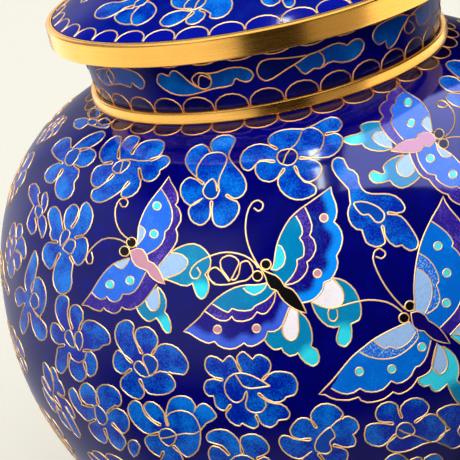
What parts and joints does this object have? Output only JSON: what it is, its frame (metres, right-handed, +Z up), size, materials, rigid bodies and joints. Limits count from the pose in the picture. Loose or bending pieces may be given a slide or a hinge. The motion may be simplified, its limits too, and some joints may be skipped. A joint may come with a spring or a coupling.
{
  "type": "lidded funeral urn",
  "caption": "Round-bellied lidded funeral urn in blue cloisonne enamel with brass rings at rim, neck and foot, hollow to hold ashes, with a lift-off domed lid.",
  "frame": {"origin": "middle of the underside, on the surface the urn stands on", "axes": "+Z up along the urn's axis; -Y is the side seen in the picture"},
  "size_m": [0.19, 0.19, 0.2128],
  "materials": {
    "enamel": "fired vitreous enamel on copper, ground flush with its wires and polished",
    "brass": "lathe-turned satin brass",
    "cell_wire": "gilt copper wire, polished flush in the enamel"
  },
  "bodies": {
    "root": {"urn_body": "enamel", "lid": "enamel", "lid_rim": "brass", "neck_bead": "brass", "foot_ring": "brass"}
  },
  "joints": []
}
